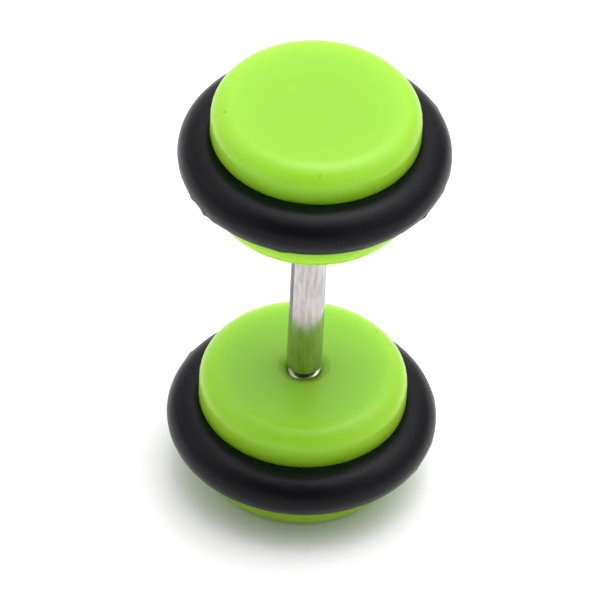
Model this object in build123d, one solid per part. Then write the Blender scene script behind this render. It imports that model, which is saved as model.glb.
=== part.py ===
from build123d import *
import math
import os

# A stud earring with the look of an ear plug: two thick acrylic discs on one thin steel post,
# each with a rubber ring round its rim. The back disc unscrews from the post's threaded end.
# Millimetres. +Z runs up the post, the origin is the middle of the back disc's outer face,
# and the earring stands on that face.

# Discs
disc_diameter = 7.0
disc_thickness = 4.45
rim_radius = 0.7

# Rubber rings, and the groove in each disc's side that holds one
ring_section = 1.68
ring_stand_out = 0.21
ring_offset = 0.06
ring_seat_gap = 0.03
groove_lip_radius = 0.06

# Post: the bare length between the discs takes the ear lobe
post_diameter = 1.2
wear_length = 7.5
shoulder_height = 0.08
shoulder_chamfer = 0.04

# Stem, the stepped end of the post that is fixed in the front disc
stem_step = 0.2
stem_chamfer = 0.1
stem_seat_gap = 0.02
stem_end_gap = 0.1
front_disc_floor = 1.75

# Thread on the post's other end, with a neck between it and the post's shoulder
thread_pitch = 0.25
thread_step = 0.03
thread_depth_per_pitch = 0.56
thread_crest_per_pitch = 0.12
thread_flank_angle = 27.0
neck_undercut = 0.03
neck_length = 0.04
neck_runout = 0.08

# Threaded hole in the back disc, wider than the thread all round
thread_clearance = 0.03
thread_end_gap = 0.4
back_disc_floor = 1.45
countersink_width = 0.3
countersink_depth = 0.15

# Length by which a ridge is sunk into its wall, and within which two sizes count as the same
overlap = 0.02

# Places worked out from the sizes above
disc_radius = disc_diameter / 2
back_face = disc_thickness
front_face = back_face + wear_length
overall_height = front_face + disc_thickness
section_radius = ring_section / 2
ring_centre_radius = disc_radius + ring_stand_out
back_ring_height = disc_thickness / 2 - ring_offset
front_ring_height = front_face + disc_thickness / 2 + ring_offset
post_radius = post_diameter / 2
stem_radius = post_radius - stem_step
seat_top = overall_height - front_disc_floor
stem_top = seat_top - stem_end_gap
shoulder_low = back_face + shoulder_height
thread_depth = thread_depth_per_pitch * thread_pitch
thread_radius = post_radius - thread_step
thread_root = thread_radius - thread_depth
hole_radius = thread_radius + thread_clearance
hole_low = back_disc_floor
thread_low = hole_low + thread_end_gap
thread_start = thread_low - thread_pitch
neck_radius = thread_root - neck_undercut
neck_low = shoulder_low - neck_length


def turned(points):
    """A round solid about the post's axis, from its outline given as radius and height."""
    outline = Polyline(*points, close=True)
    return revolve(make_face(Plane.XZ * outline), axis=Axis.Z)


def ring(height):
    """A rubber ring of round section about the post's axis."""
    return Pos(0, 0, height) * Torus(ring_centre_radius, section_radius)


def disc(low, groove_height):
    """An acrylic disc with both rims rounded and a groove for its rubber ring."""
    body = Pos(0, 0, low + disc_thickness / 2) * Cylinder(disc_radius, disc_thickness)
    body = fillet(body.edges().filter_by(GeomType.CIRCLE), rim_radius)
    groove_radius = section_radius + ring_seat_gap
    grooved = body - Pos(0, 0, groove_height) * Torus(ring_centre_radius, groove_radius)
    lips = grooved.edges().filter_by(
        lambda edge: abs(edge.center().Z - groove_height) < groove_radius + overlap
        and abs(edge.radius - disc_radius) < overlap
    )
    return fillet(lips, groove_lip_radius)


def thread_ridge(root_radius, crest_radius, low, high):
    """One long ridge wound to the right round +Z, narrower towards its crest."""
    flank = math.tan(math.radians(thread_flank_angle))
    crest_half = thread_crest_per_pitch * thread_pitch / 2
    root_half = crest_half + abs(crest_radius - root_radius) * flank
    section = Polyline(
        (root_radius, -root_half),
        (crest_radius, -crest_half),
        (crest_radius, crest_half),
        (root_radius, root_half),
        close=True,
    )
    path = Helix(thread_pitch, high - low, root_radius, center=(0, 0, low))
    return sweep(Pos(0, 0, low) * make_face(Plane.XZ * section), path=path, is_frenet=True)


def ear_post():
    """The steel post: the stem in the front disc, the bare post, a neck and the thread."""
    post_top = front_face - stem_seat_gap
    shaft = turned(
        [
            (0, thread_start),
            (thread_root, thread_start),
            (thread_root, shoulder_low),
            (post_radius - shoulder_chamfer, shoulder_low),
            (post_radius, shoulder_low + shoulder_chamfer),
            (post_radius, post_top),
            (stem_radius, post_top),
            (stem_radius, stem_top - stem_chamfer),
            (stem_radius - stem_chamfer, stem_top),
            (0, stem_top),
        ]
    )
    ridge = thread_ridge(thread_root - overlap, thread_radius, thread_start, neck_low)
    end_slope = post_radius - neck_radius
    neck = turned(
        [
            (neck_radius, neck_low),
            (neck_radius, shoulder_low),
            (post_radius, shoulder_low),
            (post_radius, neck_low - neck_runout),
        ]
    )
    tip = turned(
        [
            (0, thread_start - thread_pitch),
            (0, thread_low),
            (neck_radius, thread_low),
            (post_radius, thread_low + end_slope),
            (post_radius, thread_start - thread_pitch),
        ]
    )
    return shaft + ridge - neck - tip


def front_disc():
    """The disc that shows in front of the lobe, closed outside and fixed to the post's stem."""
    seat_radius = stem_radius + stem_seat_gap
    seat = turned(
        [
            (0, front_face - rim_radius),
            (seat_radius, front_face - rim_radius),
            (seat_radius, seat_top),
            (0, seat_top),
        ]
    )
    return disc(front_face, front_ring_height) - seat


def back_disc():
    """The disc behind the lobe, with a blind threaded hole and its countersink."""
    sink_low = back_face - countersink_depth
    cut_top = back_face + thread_pitch
    bore = turned(
        [
            (0, hole_low),
            (hole_radius, hole_low),
            (hole_radius, cut_top),
            (0, cut_top),
        ]
    )
    ridge = thread_ridge(
        hole_radius + overlap,
        hole_radius - thread_depth,
        thread_start + thread_pitch / 2,
        sink_low + thread_pitch / 2,
    )
    countersink = turned(
        [
            (0, sink_low),
            (hole_radius, sink_low),
            (hole_radius + countersink_width, back_face),
            (hole_radius + countersink_width, cut_top),
            (0, cut_top),
        ]
    )
    return disc(0, back_ring_height) - bore + ridge - countersink


def main():
    nodes = {
        "front_disc": front_disc(),
        "front_oring": ring(front_ring_height),
        "ear_post": ear_post(),
        "back_disc": back_disc(),
        "back_oring": ring(back_ring_height),
    }
    os.makedirs("parts", exist_ok=True)
    for name, solid in nodes.items():
        solid.label = name
        export_step(solid, f"parts/{name}.step")
    print("height", round(overall_height, 3), "mm")


main()
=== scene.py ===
import math

import bmesh
import bpy
from mathutils import Matrix, Vector, noise


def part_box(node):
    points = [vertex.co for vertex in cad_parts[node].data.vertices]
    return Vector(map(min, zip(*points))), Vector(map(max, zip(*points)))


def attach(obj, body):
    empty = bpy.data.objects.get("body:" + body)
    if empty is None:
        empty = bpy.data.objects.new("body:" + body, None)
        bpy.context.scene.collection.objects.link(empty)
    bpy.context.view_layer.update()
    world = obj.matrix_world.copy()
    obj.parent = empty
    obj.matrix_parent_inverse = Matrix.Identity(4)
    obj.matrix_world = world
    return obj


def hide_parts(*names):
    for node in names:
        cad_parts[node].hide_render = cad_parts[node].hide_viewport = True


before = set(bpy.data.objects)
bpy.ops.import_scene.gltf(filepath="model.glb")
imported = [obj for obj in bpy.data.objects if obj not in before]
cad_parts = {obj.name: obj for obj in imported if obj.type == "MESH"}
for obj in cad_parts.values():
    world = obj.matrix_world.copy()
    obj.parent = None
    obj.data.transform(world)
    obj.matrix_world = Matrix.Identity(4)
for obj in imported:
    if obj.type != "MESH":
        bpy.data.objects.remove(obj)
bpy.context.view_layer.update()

# A stud earring: two lime acrylic discs screwed together on a thin steel post, each with a black
# rubber ring in a groove round its side. The discs and the post are the CAD's own solids with
# moulded and drawn finishes. The rubber rings are remade with the flash of their mould.

MM = 0.001

# Rubber rings, in millimetres, as the CAD has them
RING_SECTION = 1.68
RING_CENTRE_RADIUS = 3.71
RING_TURNS = 480
SECTION_STEPS = 90

# A ring's skin lies a little below its full section, unevenly
SKIN_UNEVENNESS = 0.006
SKIN_GRAIN = 6

# Flash left round a ring where the two halves of its mould met, rolled under its equator when the
# ring was stretched on. It is torn unevenly, from a middle share by a spread.
FLASH_HEIGHT = 0.012
FLASH_PLACE = -30
FLASH_HALF_ANGLE = 3.2
TORN_MIDDLE = 0.75
TORN_SPREAD = 0.5
TORN_GRAIN = 14

# Nibs left where the flash tore. A nib has its turn about the post and its angle round the
# section, in degrees, and its height in millimetres.
NIB_HALF_TURN = 2.4
NIB_HALF_ANGLE = 11.0
NIB_END_TURN = 4 * NIB_HALF_TURN
FRONT_NIBS = (
    (28, 18, 0.03),
    (208, -20, 0.04),
    (217, -32, 0.07),
    (223, -34, 0.04),
    (257, -45, 0.03),
    (327, -30, 0.04),
    (342, -22, 0.03),
    (351, -14, 0.02),
)
BACK_NIBS = (
    (12, 8, 0.02),
    (150, 24, 0.03),
    (332, -28, 0.02),
    (348, -18, 0.02),
)

# The front ring sits low on one side, by more than its groove's clearance of 0.03, so it sinks into
# the groove's wall there
FRONT_SLIP = 0.13
FRONT_SLIP_TURN = 185

# Post: dark lines along it, painted dark reflections down its side, each with its turn, how far out
# it starts and is whole, in millimetres, and how dark it is; the heights between which they show
# more and more; and the height of the post's shoulder, below which the thread starts
PAINTED_DARK_REFLECTIONS = (
    (199, 0.555, 0.582, 0.85),
    (350, 0.570, 0.592, 0.40),
)
PAINTED_REFLECTION_FADE = (5.6, 7.6)
SHOULDER_HEIGHT = 4.57
THREAD_FADE = 0.03

# The photograph's view, found by fitting the outlines of the discs and rings
PHOTO_SIDE = 600
SENSOR_WIDTH = 36.0
VIEW_ELEVATION = 43.637
VIEW_ROLL = 2.886
VIEW_DISTANCE = 393.80
VIEW_PIXELS_PER_MM = 29.9807
VIEW_MIDDLE_PIXEL = (308.08, 283.35)
VIEW_NEAREST = 0.01
VIEW_FARTHEST = 20.0
EARRING_MIDDLE = Vector((0, 0, 8.2))

# Studio: a white table in a light tent. Each glowing panel of the tent has an azimuth, 0 behind the
# camera and 90 to its right, an elevation, and a strength in its middle. A scratch program first
# worked out the strengths, and the balance of body colour and gloss in the finishes, from renders
# of one panel at a time and the photograph. Some were then changed.
TABLE_HALF_WIDTH = 3.0
TENT_DIMMEST = 0.0
PANEL_FALL_OFF = 10.0
TENT_PANELS = (
    (0, 90, 0.60),
    (120, 75, 6.10),
    (240, 75, 1.60),
    (180, 50, 0.50),
    (45, 33, 0.40),
    (90, 33, 1.40),
    (135, 33, 0.29),
    (225, 33, 0.17),
    (270, 33, 1.49),
    (45, 8, 0.86),
    (135, 8, 0.17),
    (180, 8, 2.00),
    (225, 8, 0.64),
    (270, 8, 0.28),
    (315, 8, 0.71),
)


class Wire:
    """A value or colour on its way through a finish. Sums of wires add Math nodes to the finish."""

    def __init__(self, finish, socket):
        self.finish = finish
        self.socket = socket

    def maths(self, operation, *values):
        sockets = dict(enumerate(values))
        return self.finish.node("ShaderNodeMath", {"operation": operation}, sockets)

    def __add__(self, other):
        return self.maths("ADD", self, other)

    def __radd__(self, other):
        return self.maths("ADD", other, self)

    def __sub__(self, other):
        return self.maths("SUBTRACT", self, other)

    def __rsub__(self, other):
        return self.maths("SUBTRACT", other, self)

    def __mul__(self, other):
        return self.maths("MULTIPLY", self, other)


class Finish:
    """A finish being made up as a material, or the studio's light as a world."""

    def __init__(self, holder):
        self.holder = holder
        holder.use_nodes = True
        self.tree = holder.node_tree
        self.tree.nodes.clear()

    def node(self, kind, settings, sockets, output=0):
        """Adds one node: its settings first, then its sockets' values or wires."""
        made = self.tree.nodes.new(kind)
        for name, value in settings.items():
            setattr(made, name, value)
        for name, value in sockets.items():
            if isinstance(value, Wire):
                self.tree.links.new(value.socket, made.inputs[name])
            else:
                made.inputs[name].default_value = value
        return Wire(self, made.outputs[output])

    def place(self, stretch=(1, 1, 1)):
        """Where a point is on its piece, in millimetres, or stretched for a drawn grain."""
        spot = self.node("ShaderNodeTexCoord", {}, {}, "Object")
        factors = [1 / MM * share for share in stretch]
        return self.node("ShaderNodeVectorMath", {"operation": "MULTIPLY"}, {0: spot, 1: factors})

    def height(self, place):
        """How high a point is, in millimetres, or the upward part of a direction."""
        return self.node("ShaderNodeSeparateXYZ", {}, {0: place}, "Z")

    def along(self, place, direction):
        """How far a place or a direction lies along another direction."""
        settings = {"operation": "DOT_PRODUCT"}
        return self.node("ShaderNodeVectorMath", settings, {0: place, 1: direction}, "Value")

    def upward(self, low, high):
        """How far a piece's surface faces up, from 0 below low to 1 above high."""
        facing = self.node("ShaderNodeTexCoord", {}, {}, "Normal")
        return self.between(self.height(facing), low, high)

    def grain(self, place, per_mm, detail=3.0, rough=0.5):
        """Noise from 0 to 1 of that many grains a millimetre."""
        sockets = {"Vector": place, "Scale": per_mm, "Detail": detail, "Roughness": rough}
        return self.node("ShaderNodeTexNoise", {}, sockets, "Fac")

    def between(self, value, low, high):
        """0 below low, 1 above high, and smooth between."""
        settings = {"interpolation_type": "SMOOTHSTEP"}
        sockets = {"Value": value, "From Min": low, "From Max": high}
        return self.node("ShaderNodeMapRange", settings, sockets)

    def blend(self, share, first, second):
        """A colour on the way from first to second, by the Mix node's colour sockets."""
        sockets = {0: share, 6: first, 7: second}
        return self.node("ShaderNodeMix", {"data_type": "RGBA"}, sockets, 2)

    def bump(self, height, depth_mm, strength, below=None):
        """A relief of that depth, on top of another relief if one is given."""
        sockets = {"Height": height, "Distance": depth_mm * MM, "Strength": strength}
        if below is not None:
            sockets["Normal"] = below
        return self.node("ShaderNodeBump", {}, sockets)

    def done(self, surface, kind="ShaderNodeOutputMaterial"):
        """Joins the surface to the output and gives the material or world back."""
        last = self.tree.nodes.new(kind)
        self.tree.links.new(surface.socket, last.inputs["Surface"])
        return self.holder


def colour(red, green, blue):
    return (red, green, blue, 1.0)


def outward(turn):
    """The level direction away from the post's axis at a turn in degrees."""
    return Vector((math.cos(math.radians(turn)), math.sin(math.radians(turn)), 0))


def lime_acrylic():
    """Cast lime acrylic: milky and glossy, faintly cloudy, with soft rubs and a few dark specks.

    Its skin is painted a little greyer the more it faces up: a painted sheen for the light on its
    top faces.
    """
    deep = colour(0.272, 0.560, 0.010)
    clear = colour(0.290, 0.590, 0.013)
    mottled = colour(0.305, 0.605, 0.020)
    # painted sheen colour for the upward faces, not the acrylic's own
    painted_top_sheen = colour(0.264, 0.535, 0.040)
    speck = colour(0.080, 0.160, 0.010)
    finish = Finish(bpy.data.materials.new("lime_acrylic_moulded"))
    place = finish.place()
    cloud = finish.grain(place, 0.5, 2.0)
    mottle = finish.grain(place, 3.0, 4.0)
    rubs = finish.grain(finish.place((1.0, 1.6, 1.0)), 1.1, 3.0)
    specks = finish.between(finish.grain(place, 2.6, 1.0, 0.3), 0.79, 0.82)
    # painted sheen: greyer and bluer the more the surface faces up, standing for light
    painted_top_sheen_mask = finish.upward(-0.15, 0.90)
    base = finish.blend(cloud, deep, clear)
    base = finish.blend(mottle * 0.25, base, mottled)
    base = finish.blend(painted_top_sheen_mask * 0.9, base, painted_top_sheen)
    base = finish.blend(specks * 0.35, base, speck)
    skin = finish.bump(cloud, 0.006, 0.5)
    skin = finish.bump(rubs, 0.0010, 0.15, skin)
    surface = finish.node(
        "ShaderNodeBsdfPrincipled",
        {"subsurface_method": "RANDOM_WALK"},
        {
            "Base Color": base,
            "Roughness": rubs * 0.07 + cloud * 0.03 + 0.26,
            "Normal": skin,
            "IOR": 1.49,
            "Specular IOR Level": 0.34,
            "Subsurface Weight": 1.0,
            "Subsurface Radius": (0.8, 1.0, 0.2),
            "Subsurface Scale": 4 * MM,
        },
    )
    return finish.done(surface)


def black_rubber():
    """Moulded nitrile rubber: blue-black and satin, with a fine pebbled skin and pale dust."""
    worn = colour(0.0020, 0.0019, 0.0034)
    bloomed = colour(0.0040, 0.0038, 0.0058)
    dusty = colour(0.10, 0.10, 0.10)
    finish = Finish(bpy.data.materials.new("black_rubber_moulded"))
    place = finish.place()
    patches = finish.grain(place, 0.8, 3.0)
    pebble = finish.grain(place, 16.0, 3.0, 0.6)
    drag = finish.grain(finish.place((1.0, 1.0, 5.0)), 3.5, 4.0, 0.65)
    dust = finish.between(finish.grain(place, 4.0, 2.0, 0.4), 0.74, 0.82)
    base = finish.blend(patches, worn, bloomed)
    base = finish.blend(dust * 0.25, base, dusty)
    skin = finish.bump(drag, 0.006, 0.6)
    skin = finish.bump(pebble, 0.002, 0.6, skin)
    surface = finish.node(
        "ShaderNodeBsdfPrincipled",
        {},
        {
            "Base Color": base,
            "Roughness": patches * 0.10 + pebble * 0.06 + 0.26,
            "Normal": skin,
            "Specular IOR Level": 0.145,
            "Specular Tint": colour(0.94, 0.93, 1.0),
        },
    )
    return finish.done(surface)


def drawn_steel():
    """Surgical steel wire, drawn and polished: streaked along its length, painted darker and
    greener in its thread.

    The thread's darker green is painted shade and a painted reflection of the lime disc's light;
    dark lines down one side are painted reflections.
    """
    grey = colour(0.48, 0.47, 0.45)
    rosy = colour(0.54, 0.48, 0.49)
    streaked = colour(0.26, 0.24, 0.24)
    scored = colour(0.22, 0.21, 0.20)
    # painted dark reflection colour for the lines down the post's side
    painted_dark_reflection = colour(0.09, 0.09, 0.08)
    # painted shade and green reflection for the thread, not the steel's colour
    painted_green_shade = colour(0.30, 0.33, 0.22)
    finish = Finish(bpy.data.materials.new("surgical_steel_drawn"))
    place = finish.place()
    height = finish.height(place)
    lines = finish.grain(finish.place((1.0, 1.0, 0.03)), 12.0, 3.0, 0.6)
    smears = finish.grain(finish.place((1.0, 1.0, 0.6)), 1.5, 3.0)
    streaks = finish.grain(finish.place((1.0, 1.0, 0.2)), 5.0, 4.0, 0.6)
    thread = finish.between(height, SHOULDER_HEIGHT, SHOULDER_HEIGHT - THREAD_FADE)
    # painted dark reflections: dark, less metallic lines down one side, fading in by height
    dark_reflection_share = 0.0
    for turn, start, whole, share in PAINTED_DARK_REFLECTIONS:
        line = finish.between(finish.along(place, outward(turn)), start, whole)
        dark_reflection_share = line * (streaks * 0.3 + 0.85) * share + dark_reflection_share
    dark_reflection_share = dark_reflection_share * finish.between(height, *PAINTED_REFLECTION_FADE)
    base = finish.blend(finish.between(smears, 0.35, 0.65), grey, rosy)
    base = finish.blend(finish.between(streaks, 0.44, 0.62) * 0.4, base, streaked)
    base = finish.blend(finish.between(lines, 0.45, 0.65) * 0.25, base, scored)
    base = finish.blend(dark_reflection_share, base, painted_dark_reflection)
    # painted shade and green reflection below the shoulder, in the thread
    base = finish.blend(thread * 0.6, base, painted_green_shade)
    skin = finish.bump(smears, 0.010, 0.5)
    skin = finish.bump(lines, 0.0015, 0.6, skin)
    surface = finish.node(
        "ShaderNodeBsdfPrincipled",
        {},
        {
            "Base Color": base,
            "Metallic": 1 - dark_reflection_share * 0.9,
            "Roughness": thread * 0.05 + lines * 0.08 + smears * 0.10 + 0.07,
            "Normal": skin,
            "Specular IOR Level": 0.05,
        },
    )
    return finish.done(surface)


def white_board():
    """The white board that the earring stands on."""
    low = colour(0.925, 0.912, 0.930)
    high = colour(0.950, 0.937, 0.955)
    finish = Finish(bpy.data.materials.new("white_board"))
    tooth = finish.grain(finish.place(), 3.0, 4.0)
    surface = finish.node(
        "ShaderNodeBsdfPrincipled",
        {},
        {
            "Base Color": finish.blend(tooth, low, high),
            "Roughness": 0.28,
            "Normal": finish.bump(tooth, 0.002, 0.3),
        },
    )
    return finish.done(surface)


def dress(piece, finish):
    """Gives a whole piece one finish."""
    piece.data.materials.clear()
    piece.data.materials.append(finish)


def hump(distance, half_width):
    """A smooth rise to 1 where the distance is 0."""
    return math.exp(-((distance / half_width) ** 2))


def turn_between(first, second):
    """The smaller angle between two turns, in degrees."""
    return abs((first - second + 180) % 360 - 180)


def ring_section_radius(turn, around, seed, nibs):
    """How far a ring's skin is from its section's middle, at a turn and an angle in degrees."""
    spot = outward(turn + seed) + Vector((0, 0, around / 90))
    torn = TORN_MIDDLE + TORN_SPREAD * noise.noise(spot * TORN_GRAIN)
    flash = FLASH_HEIGHT * hump(around - FLASH_PLACE, FLASH_HALF_ANGLE)
    for nib_turn, nib_angle, nib_height in nibs:
        aside = turn_between(turn, nib_turn)
        if aside < NIB_END_TURN:
            rise = hump(aside, NIB_HALF_TURN) * hump(around - nib_angle, NIB_HALF_ANGLE)
            flash += nib_height * rise
    skin = RING_SECTION / 2 - SKIN_UNEVENNESS * (1 - noise.noise(spot * SKIN_GRAIN))
    return skin + flash * torn


def rubber_ring(name, node, seed, nibs, slip):
    """A ring of round section with its flash and nibs, in the place of its CAD node."""
    low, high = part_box(node)
    middle = (low.z + high.z) / 2 / MM
    mesh = bpy.data.meshes.new(name)
    work = bmesh.new()
    rows = []
    for i in range(RING_TURNS):
        turn = 360 * i / RING_TURNS
        lowered = slip * (1 + math.cos(math.radians(turn - FRONT_SLIP_TURN))) / 2
        row = []
        for j in range(SECTION_STEPS):
            around = 360 * j / SECTION_STEPS - 180
            reach = ring_section_radius(turn, around, seed, nibs)
            across = RING_CENTRE_RADIUS + reach * math.cos(math.radians(around))
            height = middle - lowered + reach * math.sin(math.radians(around))
            spot = outward(turn) * across + Vector((0, 0, height))
            row.append(work.verts.new(spot * MM))
        rows.append(row)
    for i, row in enumerate(rows):
        following = rows[(i + 1) % RING_TURNS]
        for j in range(SECTION_STEPS):
            k = (j + 1) % SECTION_STEPS
            face = work.faces.new((row[j], following[j], following[k], row[k]))
            face.smooth = True
    work.normal_update()
    work.to_mesh(mesh)
    work.free()
    piece = bpy.data.objects.new(name, mesh)
    bpy.context.scene.collection.objects.link(piece)
    return piece


def photo_camera():
    """A camera that sees the earring as the photograph does."""
    elevation = math.radians(VIEW_ELEVATION)
    roll = math.radians(VIEW_ROLL)
    back = Vector((0, -math.cos(elevation), math.sin(elevation)))
    level_right = Vector((1, 0, 0))
    level_up = Vector((0, math.sin(elevation), math.cos(elevation)))
    right = math.cos(roll) * level_right + math.sin(roll) * level_up
    up = math.cos(roll) * level_up - math.sin(roll) * level_right
    focal_pixels = VIEW_DISTANCE * VIEW_PIXELS_PER_MM
    aside = (VIEW_MIDDLE_PIXEL[0] - PHOTO_SIDE / 2) / focal_pixels
    above = (PHOTO_SIDE / 2 - VIEW_MIDDLE_PIXEL[1]) / focal_pixels
    spot = EARRING_MIDDLE - VIEW_DISTANCE * (aside * right + above * up - back)
    data = bpy.data.cameras.new("photo_camera")
    data.sensor_width = SENSOR_WIDTH
    data.lens = focal_pixels * SENSOR_WIDTH / PHOTO_SIDE
    data.clip_start = VIEW_NEAREST
    data.clip_end = VIEW_FARTHEST
    camera = bpy.data.objects.new("photo_camera", data)
    turned = Matrix((right, up, back)).transposed().to_4x4()
    camera.matrix_world = Matrix.Translation(spot * MM) @ turned
    bpy.context.scene.collection.objects.link(camera)
    bpy.context.scene.camera = camera


def light_tent():
    """The white tent round the earring, glowing as the sum of its soft panels."""
    world = bpy.data.worlds.new("light_tent")
    bpy.context.scene.world = world
    finish = Finish(world)
    way = finish.node("ShaderNodeTexCoord", {}, {}, "Generated")
    glow = TENT_DIMMEST
    for azimuth, elevation, strength in TENT_PANELS:
        rise = math.radians(elevation)
        middle = outward(azimuth - 90) * math.cos(rise) + Vector((0, 0, math.sin(rise)))
        fall = (finish.along(way, middle) - 1) * PANEL_FALL_OFF
        glow = glow + fall.maths("EXPONENT", fall) * strength
    surface = finish.node("ShaderNodeBackground", {}, {"Strength": glow})
    finish.done(surface, "ShaderNodeOutputWorld")


def studio():
    """The table and the tent."""
    mesh = bpy.data.meshes.new("table")
    half = TABLE_HALF_WIDTH
    corners = [(-half, -half, 0), (half, -half, 0), (half, half, 0), (-half, half, 0)]
    mesh.from_pydata(corners, [], [(0, 1, 2, 3)])
    table = bpy.data.objects.new("table", mesh)
    bpy.context.scene.collection.objects.link(table)
    dress(table, white_board())
    light_tent()


photo_camera()
studio()

acrylic = lime_acrylic()
rubber = black_rubber()
steel = drawn_steel()

for disc in ("front_disc", "back_disc"):
    dress(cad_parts[disc], acrylic)
dress(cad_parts["ear_post"], steel)

for name, node, body, seed, nibs, slip in (
    ("front_rubber_ring", "front_oring", "front_ring", 40, FRONT_NIBS, FRONT_SLIP),
    ("back_rubber_ring", "back_oring", "back", 215, BACK_NIBS, 0),
):
    ring = rubber_ring(name, node, seed, nibs, slip)
    dress(ring, rubber)
    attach(ring, body)
    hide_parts(node)

bpy.context.scene.view_settings.view_transform = "Standard"
